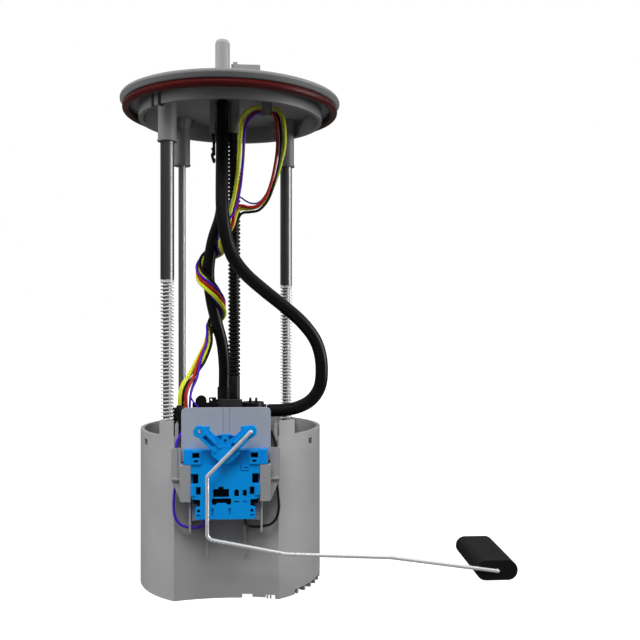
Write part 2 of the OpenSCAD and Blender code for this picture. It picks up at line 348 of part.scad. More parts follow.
module sensor_housing() color(blue) difference() {
    union() {
        front_shape(-63, -55.1) polygon([[-17.8, 53.6], [-16.8, 52.6], [16.8, 52.6], [17.8, 53.6], [17.8, 58.9], [16.8, 59.9], [14.9, 60.3], [14.9, 64.3], [18.4, 64.5], [19.8, 65.3], [20.4, 66.8], [20.4, 93], [19.8, 93.6], [-19.8, 93.6], [-20.4, 93],
            [-20.4, 66.8], [-19.8, 65.3], [-18.4, 64.5], [-14.9, 64.3], [-14.9, 60.3], [-16.8, 59.9], [-17.8, 58.9]]);
        for (s = [-1, 1]) {
            box([s > 0 ? 20.3 : -24.8, -61.5, 84.9], [s > 0 ? 24.8 : -20.3, -55.1, 93.6]);
            box([s > 0 ? 20.3 : -25.2, -59.6, 66.9], [s > 0 ? 25.2 : -20.3, -55.1, 85]);
            // raised frames in the upper corners and along the sides
            box([s > 0 ? 14.4 : -20.2, -64, 85.4], [s > 0 ? 20.2 : -14.4, -62.9, 93.5]);
            box([s > 0 ? 17.6 : -20.3, -63.7, 66.9], [s > 0 ? 20.3 : -17.6, -62.9, 73]);
        }
        // boss around the pivot
        translate([pivot[0], -63.2, pivot[2]]) rotate([-90, 0, 0]) cylinder(r = 4.4, h = 6, $fn = 48);
    }
    // hollow for the card, open at the back
    difference() {
        union() { box([-17, -61.4, 55], [17, -54, 60.3]); box([-19.6, -61.4, 60.2], [19.6, -54, 92.6]); }
        translate([pivot[0], -64, pivot[2]]) rotate([-90, 0, 0]) cylinder(r = 3.6, h = 4.4, $fn = 48);
    }
    // room for the wiper's hub
    box([-4.2, -59.4, 92], [4.6, -54, 94]);
    // pivot bore
    translate([pivot[0], -66, pivot[2]]) rotate([-90, 0, 0]) cylinder(r = 2.06, h = 10, $fn = 48);
    // recess behind the turning piece
    front_shape(-64, -62.3) polygon([[-13.4, 84.5], [13.4, 84.5], [13.4, 96], [-13.4, 96]]);
    // windows
    for (s = [-1, 1]) {
        box([s > 0 ? 15.1 : -19.4, -65, 89.1], [s > 0 ? 19.4 : -15.1, -60, 92.3]);
        box([s > 0 ? 15.9 : -18.4, -65, 86.6], [s > 0 ? 18.4 : -15.9, -60, 88]);
        box([s > 0 ? 15.9 : -20.5, -65, 73.8], [s > 0 ? 20.5 : -15.9, -60, 79.7]);
        box([s > 0 ? 14.5 : -17.2, -65, 67.2], [s > 0 ? 17.2 : -14.5, -60, 71.9]);
        translate([s * 15.8, -66, 57.6]) rotate([-90, 0, 0]) cylinder(r = 1, h = 8, $fn = 24);
        box([s * 15.8 - 1.1, -65, 54.4], [s * 15.8 + 1.1, -62, 55.5]);
        box([s * 5.1 - 2.5 - 0.7, -65, 54.8], [s * 5.1 - 2.5 + 0.7, -62, 59.1]);
    }
    box([-7.2, -65, 65.6], [2.2, -60, 70.6]);
    box([-4.2, -65, 70.5], [-1, -60, 72]);
    front_shape(-65, -60) polygon([[-7.6, 65], [3.2, 65], [3.7, 63.6], [3.2, 61], [1, 61], [0.4, 62], [-5, 62], [-5.6, 61], [-7.6, 61], [-8.2, 63.6]]);
    box([5.3, -65, 66], [8, -60, 69]);
    translate([6.65, -66, 69]) rotate([-90, 0, 0]) cylinder(r = 1.35, h = 6, $fn = 24);
    box([10.4, -65, 66.2], [12.7, -61, 69.9]);
    box([5.2, -65, 62.4], [8.1, -60, 63.4]);
    box([10.4, -65, 62.6], [12.7, -62, 63.3]);
    box([8.8, -65, 81], [9.5, -62.2, 84.3]);
    box([8.8, -65, 81], [14, -62.2, 81.7]);
    box([10.8, -65, 82.8], [14, -62.2, 83.6]);
    // holes for the two leads
    translate([-12.5, -59, 50]) cylinder(r = 1.2, h = 6, $fn = 24);
    translate([11.5, -59, 50]) cylinder(r = 1.2, h = 6, $fn = 24);
}

module sensor_card() color([0.05, 0.05, 0.06]) union() {
    front_shape(-57, -56) polygon([[-16.6, 56], [16.6, 56], [16.6, 60.6], [19.2, 60.6], [19.2, 92.2], [-19.2, 92.2], [-19.2, 60.6], [-16.6, 60.6]]);
    translate([0, -57.4, 0]) intersection() {
        front_shape(0, 0.5) difference() {
            translate([pivot[0], pivot[2]]) circle(r = 14.6, $fn = 64);
            translate([pivot[0], pivot[2]]) circle(r = 11.6, $fn = 64);
        }
        box([-12, -1, 70], [12, 1, 83]);
    }
}

module sensor_contacts() color(brass) for (x = [-12.5, 11.5]) union() {
    translate([x, -59, 52.6]) cylinder(r = 0.9, h = 4, $fn = 24);
    box([x - 1.2, -59.4, 56.4], [x + 1.2, -58.6, 62]);
    box([x - 1.2, -59.4, 61], [x + 1.2, -57.05, 62]);
}

module lead_purple_fixed() color(lead_purple) sweep(spline(lead_l, 2), 0.8, 8);
module lead_black_fixed() color(black) sweep(spline(lead_r, 2), 0.8, 8);

module pump_deck() color(black) union() {
    difference() {
        union() {
            intersection() {
                box([-34.5, -42.6, 97], [22, 52, 100]);
                pot_outline(57, concave_r + 4, 96, 101);
            }
            box([18, -42.6, 97], [28, -34, 100]);
            translate([pump_xy[0], pump_xy[1], 78]) cylinder(r = 22, h = 19.1, $fn = 96);
        }
        translate([pump_xy[0], pump_xy[1], 70]) cylinder(r = 20.2, h = 40, $fn = 96);
        for (p = rods) translate([p[0], p[1], 90]) cylinder(r = 6.2, h = 20, $fn = 64);
        translate([15, -16, 90]) cylinder(r = 7.25, h = 20, $fn = 64);
        for (p = [[24.5, -38], [-24.5, -38]]) translate([p[0], p[1], 96]) cylinder(r = 1.3, h = 10, $fn = 24);
        box([-40, -10, 96], [-28, 18, 101]);
        box([10, 20, 96], [30, 60, 101]);
    }
    // cap, eye and ribs that show over the sensor plate
    translate([-19.2, -27, 99.9]) cylinder(r = 1.9, h = 13, $fn = 32);
    box([-12.6, -28.4, 99.9], [-8.2, -25.6, 114]);
    box([-23, -29, 112], [-6.5, -25, 118.2]);
    translate([-17.7, -25, 119.4]) rotate([90, 0, 0]) cylinder(r = 3.4, h = 4.2, $fn = 48);
    difference() {
        union() { box([-12.6, -28.6, 118.1], [-8.2, -25.4, 121.5]); box([-8.3, -28.6, 118.1], [-6.8, -25.4, 120.2]); }
        translate([-11.2, -24, 120.1]) rotate([90, 0, 0]) cylinder(r = 0.75, h = 6, $fn = 24);
    }
    box([-32.5, -36.4, 99.9], [-29.5, -35, 108]);
}

module hose_bracket() color([0.16, 0.16, 0.17]) difference() {
    box([-6, -26, 100], [8.2, -19.4, 119.6]);
    box([-4.6, -27, 103], [0, -20.9, 114]);
    box([1.2, -27, 103], [6.2, -20.9, 114]);
}

module return_elbow() color(black) translate([return_xy[0], return_xy[1], 0]) union() {
    translate([0, 0, 100]) cylinder(r = 3, h = 14.3, $fn = 40);
    translate([0, 0, 112.4]) cylinder(r = 4.2, h = 2, $fn = 40);
}

module pump_case() color([0.66, 0.66, 0.67]) translate([pump_xy[0], pump_xy[1], 0]) difference() {
    translate([0, 0, 19]) cylinder(r = 19, h = 75, $fn = 96);
    translate([0, 0, 18]) cylinder(r = 17.8, h = 77, $fn = 96);
}

module pump_isolator() color([0.09, 0.09, 0.09]) translate([pump_xy[0], pump_xy[1], 0]) difference() {
    union() { translate([0, 0, 80]) cylinder(r = 20.15, h = 12, $fn = 96); }
    translate([0, 0, 79]) cylinder(r = 19.05, h = 14, $fn = 96);
}

module inlet_cover() color([0.70, 0.70, 0.71]) translate([pump_xy[0], pump_xy[1], 0]) difference() {
    union() {
        translate([0, 0, 17]) cylinder(r = 17.75, h = 9.6, $fn = 96);
        translate([-8, 0, 13]) cylinder(r = 3.5, h = 4.1, $fn = 40);
    }
    translate([0, 0, 22.4]) cylinder(r = 15.2, h = 5, $fn = 96);
    translate([-8, 0, 12]) cylinder(r = 2.4, h = 11, $fn = 40);
    translate([0, 0, 19.6]) cylinder(r = 2.06, h = 4, $fn = 40);
}

module channel_plate() color([0.70, 0.70, 0.71]) translate([pump_xy[0], pump_xy[1], 0]) difference() {
    translate([0, 0, 26.65]) cylinder(r = 17.75, h = 4.4, $fn = 96);
    translate([0, 0, 26]) cylinder(r = 2.06, h = 6, $fn = 40);
    translate([10, 0, 26]) cylinder(r = 2.2, h = 6, $fn = 32);
}

module impeller() color([0.30, 0.24, 0.18]) translate([pump_xy[0], pump_xy[1], 22.5]) difference() {
    cylinder(r = 15.05, h = 4, $fn = 96);
    translate([0, 0, -1]) cylinder(r = 2, h = 6, $fn = 40);
    for (a = [0:15:345]) rotate([0, 0, a]) { box([12.4, -0.9, 2.6], [14.4, 0.9, 5]); box([12.4, -0.9, -1], [14.4, 0.9, 1.4]); }
}

module pump_shaft() color(steel) translate([pump_xy[0], pump_xy[1], 19.8]) cylinder(r = 2, h = 66.2, $fn = 40);

module armature_core() color([0.35, 0.35, 0.36]) translate([pump_xy[0], pump_xy[1], 38]) difference() {
    cylinder(r = 11.4, h = 28, $fn = 96);
    translate([0, 0, -1]) cylinder(r = 2, h = 30, $fn = 40);
    for (a = [0:45:315]) rotate([0, 0, a]) box([8.6, -0.8, -1], [12, 0.8, 29]);
}

module armature_windings() color([0.72, 0.36, 0.16]) translate([pump_xy[0], pump_xy[1], 0]) {
    for (z = [[34.6, 37.9], [66.1, 69.2]]) difference() {
        translate([0, 0, z[0]]) cylinder(r = 10.4, h = z[1] - z[0], $fn = 72);
        translate([0, 0, z[0] - 1]) cylinder(r = 2, h = 8, $fn = 40);
    }
}

module commutator() color([0.78, 0.44, 0.22]) translate([pump_xy[0], pump_xy[1], 69.3]) difference() {
    cylinder(r = 7.8, h = 5.7, $fn = 64);
    translate([0, 0, -1]) cylinder(r = 2, h = 8, $fn = 40);
    for (a = [0:45:315]) rotate([0, 0, a]) box([3, -0.25, 3], [9, 0.25, 7]);
}

module field_magnets() color([0.18, 0.18, 0.19]) translate([pump_xy[0], pump_xy[1], 35]) difference() {
    cylinder(r = 17.7, h = 34, $fn = 96);
    translate([0, 0, -1]) cylinder(r = 12.2, h = 36, $fn = 96);
    box([-20, -3, -1], [20, 3, 36]);
}

module brushes() color([0.20, 0.19, 0.18]) translate([pump_xy[0], pump_xy[1], 75.1]) for (s = [-1, 1]) box([s * 5.1 - 1.8, -1.8, 0], [s * 5.1 + 1.8, 1.8, 9]);

module brush_springs() color(steel) for (s = [-1, 1]) translate([pump_xy[0] + s * 5.1, pump_xy[1], 0]) coil(1.4, 0.25, 84.4, 90.7, 6, 10, 4);

module pump_cap() color(black) translate([pump_xy[0], pump_xy[1], 0]) difference() {
    union() {
        translate([0, 0, 78]) cylinder(r = 17.75, h = 16.1, $fn = 96);
        translate([0, 0, 94.05]) cylinder(r = 19, h = 3, $fn = 96);
        translate([0, 0, 97]) cylinder(r = 6, h = 13.5, $fn = 64);
        translate([0, 0, 110.4]) cylinder(r = 4.3, h = 4.5, $fn = 64);
        for (s = [-1, 1]) box([s * 10 - 4, -12, 97], [s * 10 + 4, -6.6, 99.5]);
    }
    for (s = [-1, 1]) box([s * 5.1 - 1.95, -1.95, 77], [s * 5.1 + 1.95, 1.95, 91]);
    translate([0, 0, 77]) cylinder(r = 2.06, h = 10, $fn = 40);
    // outlet passage with the seat of the check valve
    translate([0, 9, 77]) cylinder(r = 1.8, h = 17.5, $fn = 32);
    translate([0, 10.8, 94.5]) rotate([90, 0, 0]) cylinder(r = 1.8, h = 10.8, $fn = 32);
    translate([0, 0, 93]) cylinder(r = 1.8, h = 8, $fn = 32);
    translate([0, 0, 99]) cylinder(r = 3.3, h = 9.6, $fn = 40);
    translate([0, 0, 107]) cylinder(r = 2, h = 9, $fn = 32);
    for (s = [-1, 1]) box([s * 10 - 3.2, -9.7, 90], [s * 10 + 3.2, -8.9, 101]);
}

module check_valve() color([0.75, 0.72, 0.62]) translate([pump_xy[0], pump_xy[1], 0]) union() {
    translate([0, 0, 99.1]) cylinder(r = 2.9, h = 2, $fn = 40);
    translate([0, 0, 101]) cylinder(r = 1, h = 2.6, $fn = 24);
}

module check_spring() color(steel) translate([pump_xy[0], pump_xy[1], 0]) coil(1.9, 0.25, 101.5, 108.2, 6, 12, 4);

module pump_terminals() color(brass) translate([pump_xy[0], pump_xy[1], 0]) for (s = [-1, 1]) box([s * 10 - 3.15, -9.65, 90.1], [s * 10 + 3.15, -8.95, 105.5]);

module power_plug() color([0.10, 0.10, 0.11]) difference() {
    union() {
        box([-19.5, -8.2, 100.1], [-9.6, 1.2, 110]);
        box([0.4, -6, 100.1], [9.6, 1.2, 108]);
        box([-9.7, -6, 101.6], [0.5, -1.3, 106]);
    }
    for (s = [-1, 1]) box([-5 + s * 10 - 3.3, -3.8, 99], [-5 + s * 10 + 3.3, -2.8, 105.7]);
}

module wire_boot() color([0.08, 0.08, 0.085]) translate([-30.6, -32, 0]) union() {
    box([-4.3, -1.6, 100.02], [0, 1.6, 115.6]);
    translate([0, 0, 100.02]) cylinder(r = 2.7, h = 14, $fn = 32);
    translate([0, 0, 114]) cylinder(r1 = 2.7, r2 = 2, h = 3, $fn = 32);
}

module hose_clamp() color([0.07, 0.07, 0.075]) translate([-5, 6, 0]) difference() {
    union() {
        translate([0, 0, 115.4]) cylinder(r = 4.75, h = 10, $fn = 48);
        box([-1.6, 4.2, 118], [1.6, 6.2, 122]);
    }
    translate([0, 0, 114]) cylinder(r = 4.02, h = 13, $fn = 48);
}

module regulator_case() color(black) difference() {
    union() {
        translate([15, -16, 88]) cylinder(r = 7.2, h = 29.4, $fn = 64);
        translate([15, -16, 80]) cylinder(r = 3, h = 8.1, $fn = 40);
        // stub that the hose ends against
        translate([20, -16, 111.7]) rotate([0, 90, 0]) cylinder(r = 3.4, h = 2.2, $fn = 40);
        translate([21.8, -16, 111.7]) rotate([0, 90, 0]) cylinder(r = 4.3, h = 2, $fn = 48);
        for (x = [13.3, 17.2]) box([x - 0.7, -22, 117.3], [x + 0.7, -12, 119.9]);
    }
    translate([15, -16, 92]) cylinder(r = 5.6, h = 21.8, $fn = 64);
    translate([15, -16, 79]) cylinder(r = 1.6, h = 14, $fn = 32);
    translate([19, -16, 111.7]) rotate([0, 90, 0]) cylinder(r = 1.5, h = 6, $fn = 32);
}

module regulator_valve() color([0.60, 0.52, 0.30]) translate([15, -16, 0]) union() {
    translate([0, 0, 94.2]) cylinder(r = 5.3, h = 1.4, $fn = 48);
    translate([0, 0, 92.3]) cylinder(r = 2.2, h = 2, $fn = 32);
}

module regulator_spring() color(steel) translate([15, -16, 0]) coil(3.8, 0.4, 96.1, 113.3, 7, 12, 4);

module inlet_filter() color([0.20, 0.20, 0.19]) translate([pump_xy[0], pump_xy[1], 0]) difference() {
    union() {
        rotate_extrude($fn = 72) polygon([[0, 9.2], [22, 9.2], [24.6, 9.8], [25.4, 10.8], [24.6, 11.6], [20, 13.2], [8, 14], [0, 14]]);
        translate([-8, 0, 11]) cylinder(r = 5, h = 5, $fn = 40);
    }
    translate([-8, 0, 12.9]) cylinder(r = 3.55, h = 6, $fn = 40);
}

module jet_pump() color(black) union() {
    difference() {
        union() {
            box([-42, -24, 6.5], [-32, -12, 15]);
            translate([-37, -12.1, 11]) rotate([-90, 0, 0]) cylinder(r = 3.4, h = 22, $fn = 40);
            translate([-37, -18, 14.9]) cylinder(r = 2.6, h = 8, $fn = 32);
        }
        translate([-37, -20, 11]) rotate([-90, 0, 0]) cylinder(r1 = 1, r2 = 2.4, h = 32, $fn = 32);
        translate([-37, -18, 11]) cylinder(r = 1.2, h = 14, $fn = 24);
    }
}

// ------------------------------------------------------------------ float arm

module arm_link(s) {
    // one arm at 45 degrees with its lug
    translate([pivot[0], 0, pivot[2]]) rotate([0, s * 45, 0]) {
        difference() {
            union() {
                box([-2.9, -67.2, 3], [2.9, -64.3, 21.2]);
                box([s > 0 ? -4.6 : 0, -66.4, 6], [s > 0 ? 0 : 4.6, -64.3, 17]);
                translate([0, -68.2, 21.2]) rotate([-90, 0, 0]) cylinder(r = 3.6, h = 3.9, $fn = 48);
                if (s > 0) { box([-2.6, -69.6, 9.5], [-1.25, -67, 17.4]); box([1.25, -69.6, 9.5], [2.6, -67, 17.4]); }
                else { box([-2.6, -68.2, 6], [-1.2, -67, 19]); box([1.2, -68.2, 6], [2.6, -67, 19]); }
            }
            if (s < 0) {
                translate([0, -69, 21.2]) rotate([-90, 0, 0]) cylinder(r = 1.3, h = 6, $fn = 32);
                box([-1.1, -68, 8], [1.1, -65.4, 17]);
            } else translate([0, -69, 21.2]) rotate([-90, 0, 0]) cylinder(r = arm_d / 2 + 0.02, h = 6, $fn = 32);
        }
    }
}

module sensor_rotor() color(blue) difference() {
    union() {
        arm_link(-1);
        arm_link(1);
        // hub and its pointed lower edge
        front_shape(-67.6, -64.3) polygon([[-8, 91.8], [-3.6, 87.8], [-1, 86.4], [1.6, 86.4], [4.2, 87.8], [8.4, 91.8], [7.6, 97], [-7.2, 97]]);
        // fan between the arms
        front_shape(-66.8, -64.3) intersection() {
            translate([pivot[0], pivot[2]]) circle(r = 13.4, $fn = 96);
            polygon([[pivot[0], 86], [8.2, 110], [-7.8, 110]]);
        }
        translate([pivot[0], -68, pivot[2]]) rotate([-90, 0, 0]) cylinder(r = 4.2, h = 3.7, $fn = 48);
        // pivot pin
        translate([pivot[0], -65, pivot[2]]) rotate([-90, 0, 0]) cylinder(r = 2, h = 6.6, $fn = 48);
        for (x = [-14.3, 9.3]) box([x, -66.9, 104], [x + 5.4, -64.3, 108.3]);
    }
    // openings between the fan's ribs
    for (q = [[-3.2, 102.1], [3.6, 102.1]]) front_shape(-68, -65.3) polygon([[q[0] - 1.7, q[1] + 0.6], [q[0] + 1.7, q[1] + 0.6], [q[0] * 0.75, q[1] - 2.2]]);
    front_shape(-68, -65.4) polygon([[-1, 100.6], [1.4, 100.6], [0.2, 98.6]]);
    for (s = [-1, 1]) translate([pivot[0], 0, pivot[2]]) rotate([0, s * 30, 0]) box([-0.5, -68, 7.2], [0.5, -65.6, 9.6]);
}

module wiper() color(brass) translate([pivot[0], 0, pivot[2]]) rotate([0, -140, 0]) difference() {
    union() {
        box([-1.3, -58.8, -2], [1.3, -58.3, 14.2]);
        translate([0, -58.9, 0]) rotate([-90, 0, 0]) cylinder(r = 2.9, h = 0.7, $fn = 40);
        box([-1.3, -58.5, 12.4], [1.3, -57.6, 14]);
    }
    translate([0, -60, 0]) rotate([-90, 0, 0]) cylinder(r = 2, h = 4, $fn = 40);
}

// An arc between the straight pieces a-b and b-c of a wire in a plane of constant y
module wire_bend(a, b, c, bend, r) {
    u = unit(b - a); v = unit(c - b);
    turn = acos(u * v);
    mid = b + unit(v - u) * bend / cos(turn / 2);
    first = mid + unit(v - u) * -bend;
    way = atan2(first[2] - mid[2], first[0] - mid[0]);
    translate(mid) rotate([90, 0, 0]) rotate([0, 0, way - turn / 2]) rotate_extrude(angle = turn, $fn = 96) translate([bend, 0]) circle(r = r, $fn = 32);
}

module arm_wire() color([0.72, 0.72, 0.73]) {
    y = -69.3;
    p = [[pivot[0] + 21.2 * sin(45), y, pivot[2] + 21.2 * cos(45)], [-10.1, y, 79.5], [-10.1, y, 42.7], [36.2, y, 33.1], [98, y, 30.2], [float_c[0], y, float_c[2]]];
    bends = [0, 3, 4, 8, 12, 0];
    cut = [for (i = [0:5]) i == 0 || i == 5 ? 0 : bends[i] * tan(acos(unit(p[i] - p[i - 1]) * unit(p[i + 1] - p[i])) / 2) - 0.2];
    for (i = [0:4]) bar(p[i] + unit(p[i + 1] - p[i]) * cut[i], p[i + 1] - unit(p[i + 1] - p[i]) * cut[i + 1], arm_d / 2);
    // the bends stand a little proud of the wire
    for (i = [1:4]) wire_bend(p[i - 1], p[i], p[i + 1], bends[i], arm_d / 2 + 0.04);
    for (q = [p[0], p[5]]) translate(q) sphere(r = arm_d / 2 + 0.06, $fn = 32);
    translate(p[0]) rotate([-90, 0, 0]) cylinder(r = arm_d / 2, h = 5, $fn = 32);
    translate(p[5]) rotate([-90, 0, 0]) cylinder(r = arm_d / 2, h = 40, $fn = 32);
}

module float_block() color([0.05, 0.05, 0.055]) difference() {
    union() {
        for (s = [-1, 1]) translate([float_c[0] + s * (float_w / 2 - float_h / 2), -68, float_c[2]]) rotate([-90, 0, 0]) cylinder(r = float_h / 2, h = float_l, $fn = 64);
        box([float_c[0] - float_w / 2 + float_h / 2, -68, float_c[2] - float_h / 2], [float_c[0] + float_w / 2 - float_h / 2, -68 + float_l, float_c[2] + float_h / 2]);
    }
    translate([float_c[0], -69, float_c[2]]) rotate([-90, 0, 0]) cylinder(r = arm_d / 2 + 0.06, h = 42, $fn = 32);
}

flange_cover();
seal_ring();
fuel_port();
connector_shell();
connector_pins();
guide_rods();
rod_sleeves();
rod_clips();
hose_clip();
coil_springs();
regulator_hose();
supply_hose();
return_hose();
wire_yellow();
wire_red();
wire_purple();
loop_yellow();
loop_red();
loop_black();
loop_purple();
reservoir_pot();
foot_valve();
sensor_plate();
sensor_housing();
sensor_card();
sensor_contacts();
lead_purple_fixed();
lead_black_fixed();
pump_deck();
hose_bracket();
return_elbow();
pump_case();
pump_isolator();
inlet_cover();
channel_plate();
impeller();
pump_shaft();
armature_core();
armature_windings();
commutator();
field_magnets();
brushes();
brush_springs();
pump_cap();
check_valve();
check_spring();
pump_terminals();
power_plug();
wire_boot();
hose_clamp();
regulator_case();
regulator_valve();
regulator_spring();
inlet_filter();
jet_pump();
sensor_rotor();
wiper();
arm_wire();
float_block();
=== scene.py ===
import json
import math

import bpy
from mathutils import Matrix, Vector


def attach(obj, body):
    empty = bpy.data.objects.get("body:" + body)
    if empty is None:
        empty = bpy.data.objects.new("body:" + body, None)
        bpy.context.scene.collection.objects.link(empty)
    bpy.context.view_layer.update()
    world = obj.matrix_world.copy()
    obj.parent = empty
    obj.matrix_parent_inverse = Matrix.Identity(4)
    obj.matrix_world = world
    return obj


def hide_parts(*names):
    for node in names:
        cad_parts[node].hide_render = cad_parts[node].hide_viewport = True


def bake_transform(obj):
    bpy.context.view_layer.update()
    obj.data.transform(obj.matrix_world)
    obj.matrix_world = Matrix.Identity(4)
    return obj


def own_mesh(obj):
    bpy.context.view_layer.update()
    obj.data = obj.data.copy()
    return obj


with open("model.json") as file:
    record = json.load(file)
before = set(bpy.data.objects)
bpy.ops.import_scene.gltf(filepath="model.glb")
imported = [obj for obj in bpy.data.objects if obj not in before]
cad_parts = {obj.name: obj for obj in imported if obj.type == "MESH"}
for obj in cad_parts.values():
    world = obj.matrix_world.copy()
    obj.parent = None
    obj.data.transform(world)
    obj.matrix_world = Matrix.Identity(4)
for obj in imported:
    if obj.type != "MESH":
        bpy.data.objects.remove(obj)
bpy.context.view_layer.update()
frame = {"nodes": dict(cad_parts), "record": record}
nodes = frame["nodes"]
MM = 0.001

# ------------------------------------------------------------------ camera
cam_data = bpy.data.cameras.new("camera")
cam = bpy.data.objects.new("camera", cam_data)
bpy.context.scene.collection.objects.link(cam)
cam.location = (0.0296, -0.5269, 0.171)
cam.rotation_euler = (math.radians(90), 0, math.radians(-3.3))
cam_data.sensor_width = 36
cam_data.sensor_height = 36
cam_data.sensor_fit = "HORIZONTAL"
cam_data.lens = 43.7
cam_data.clip_start = 0.01
cam_data.clip_end = 50
bpy.context.scene.camera = cam
bpy.context.scene.view_settings.view_transform = "Standard"


# ------------------------------------------------------------------ curves
def spline(points, k):
    """A smooth curve through the points, k steps for each pair."""
    out = []
    n = len(points)
    for i in range(n - 1):
        b, c = points[i], points[i + 1]
        a = points[i - 1] if i else 2 * b - c
        d = points[i + 2] if i + 2 < n else 2 * c - b
        for j in range(k):
            t = j / k
            out.append(0.5 * (2 * b + (c - a) * t + (2 * a - 5 * b + 4 * c - d) * t * t + (3 * b - 3 * c + d - a) * t ** 3))
    out.append(points[-1].copy())
    return out


def vec(rows):
    return [Vector(r) for r in rows]


def core(z):
    """The point of the inner hose's axis at the height z."""
    rows = sorted((q.z, q.x, q.y) for q in HOSE_B)
    for (z0, x0, y0), (z1, x1, y1) in zip(rows, rows[1:]):
        if z0 <= z <= z1:
            t = (z - z0) / (z1 - z0)
            return Vector((x0 + (x1 - x0) * t, y0 + (y1 - y0) * t, z))
    return Vector((rows[-1][1], rows[-1][2], z)) if z > rows[-1][0] else Vector((rows[0][1], rows[0][2], z))


def around(points, a, b, first):
    """The points from number first on, moved upwards along the inner hose by a and away from its axis by b."""
    out = []
    for i in range(first, len(points)):
        p = points[i]
        t = (points[min(i + 1, len(points) - 1)] - points[max(i - 1, 0)]).normalized()
        q = p - core(p.z)
        w = (q - q.dot(t) * t).normalized()
        out.append(p + a * w.cross(t) + b * w)
    return out


def frames(points):
    """A direction and two square directions at each point, turning as little as possible."""
    t = [(points[min(i + 1, len(points) - 1)] - points[max(i - 1, 0)]).normalized() for i in range(len(points))]
    start = Vector((0, 1, 0)) if abs(t[0].y) < 0.9 else Vector((1, 0, 0))
    u = (start - start.dot(t[0]) * t[0]).normalized()
    out = []
    for i in range(len(points)):
        if i:
            u = t[i - 1].rotation_difference(t[i]) @ u
            u = (u - u.dot(t[i]) * t[i]).normalized()
        out.append((t[i], u, t[i].cross(u)))
    return out


def make(name, verts, faces, smooth=True, angle=40):
    mesh = bpy.data.meshes.new(name)
    mesh.from_pydata([tuple(v) for v in verts], [], faces)
    mesh.validate()
    mesh.update()
    obj = bpy.data.objects.new(name, mesh)
    bpy.context.scene.collection.objects.link(obj)
    if smooth:
        mesh.polygons.foreach_set("use_smooth", [True] * len(mesh.polygons))
        mesh.set_sharp_from_angle(angle=math.radians(angle))
    return obj


def tube(name, points, radius, n=20, closed_ends=True):
    """A round tube along points in millimetres. radius is a number, or one for each point."""
    r = radius if isinstance(radius, (list, tuple)) else [radius] * len(points)
    verts, faces = [], []
    for p, (t, u, w), s in zip(points, frames(points), r):
        for j in range(n):
            q = 2 * math.pi * j / n
            verts.append((p + s * (math.cos(q) * u + math.sin(q) * w)) * MM)
    for i in range(len(points) - 1):
        for j in range(n):
            k = (j + 1) % n
            faces.append((i * n + j, i * n + k, (i + 1) * n + k, (i + 1) * n + j))
    if closed_ends:
        faces.append(tuple(reversed(range(n))))
        faces.append(tuple(range((len(points) - 1) * n, len(points) * n)))
    return make(name, verts, faces)


def lathe(name, profile, at, n=48, axis="z", closed=True):
    """Turns a profile of (radius, height) in millimetres around an axis through the point at."""
    verts, faces = [], []
    m = len(profile)
    for j in range(n):
        q = 2 * math.pi * j / n
        for r, h in profile:
            if axis == "z":
                v = Vector((r * math.cos(q), r * math.sin(q), h))
            elif axis == "y":
                v = Vector((r * math.cos(q), h, -r * math.sin(q)))
            else:
                v = Vector((h, r * math.cos(q), r * math.sin(q)))
            verts.append((v + Vector(at)) * MM)
    for j in range(n):
        k = (j + 1) % n
        for i in range(m if closed else m - 1):
            h = (i + 1) % m
            faces.append((j * m + i, k * m + i, k * m + h, j * m + h))
    return make(name, verts, faces, angle=35)


def bevelled_box(name, lo, hi, bevel=0.4, segments=2):
    x0, y0, z0 = [a * MM for a in lo]
    x1, y1, z1 = [a * MM for a in hi]
    verts = [(x, y, z) for x in (x0, x1) for y in (y0, y1) for z in (z0, z1)]
    faces = [(0, 1, 3, 2), (4, 6, 7, 5), (0, 4, 5, 1), (2, 3, 7, 6), (0, 2, 6, 4), (1, 5, 7, 3)]
    obj = make(name, verts, faces, smooth=False)
    import bmesh
    bm = bmesh.new()
    bm.from_mesh(obj.data)
    bmesh.ops.bevel(bm, geom=bm.edges[:], offset=bevel * MM, segments=segments, profile=0.5, affect="EDGES")
    bm.to_mesh(obj.data)
    bm.free()
    obj.data.polygons.foreach_set("use_smooth", [True] * len(obj.data.polygons))
    obj.data.set_sharp_from_angle(angle=math.radians(50))
    return obj


# ------------------------------------------------------------------ materials
def new_material(name):
    m = bpy.data.materials.new(name)
    m.use_nodes = True
    tree = m.node_tree
    bsdf = next(n for n in tree.nodes if n.type == "BSDF_PRINCIPLED")
    return m, tree, bsdf


def coords(tree, stretch=(1, 1, 1)):
    tc = tree.nodes.new("ShaderNodeTexCoord")
    mp = tree.nodes.new("ShaderNodeMapping")
    mp.inputs["Scale"].default_value = stretch
    tree.links.new(tc.outputs["Object"], mp.inputs["Vector"])
    return mp.outputs["Vector"]


def noise(tree, vector, scale, detail=4, rough=0.55):
    n = tree.nodes.new("ShaderNodeTexNoise")
    n.inputs["Scale"].default_value = scale
    n.inputs["Detail"].default_value = detail
    n.inputs["Roughness"].default_value = rough
    tree.links.new(vector, n.inputs["Vector"])
    return n.outputs["Fac"]


def ramp(tree, fac, stops):
    r = tree.nodes.new("ShaderNodeValToRGB")
    els = r.color_ramp.elements
    while len(els) < len(stops):
        els.new(0.5)
    for e, (pos, col) in zip(els, stops):
        e.position = pos
        e.color = (*col, 1)
    tree.links.new(fac, r.inputs["Fac"])
    return r.outputs["Color"]


def spread(tree, fac, low, high):
    r = tree.nodes.new("ShaderNodeMapRange")
    r.inputs["From Min"].default_value = 0.3
    r.inputs["From Max"].default_value = 0.7
    r.inputs["To Min"].default_value = low
    r.inputs["To Max"].default_value = high
    tree.links.new(fac, r.inputs["Value"])
    return r.outputs["Result"]


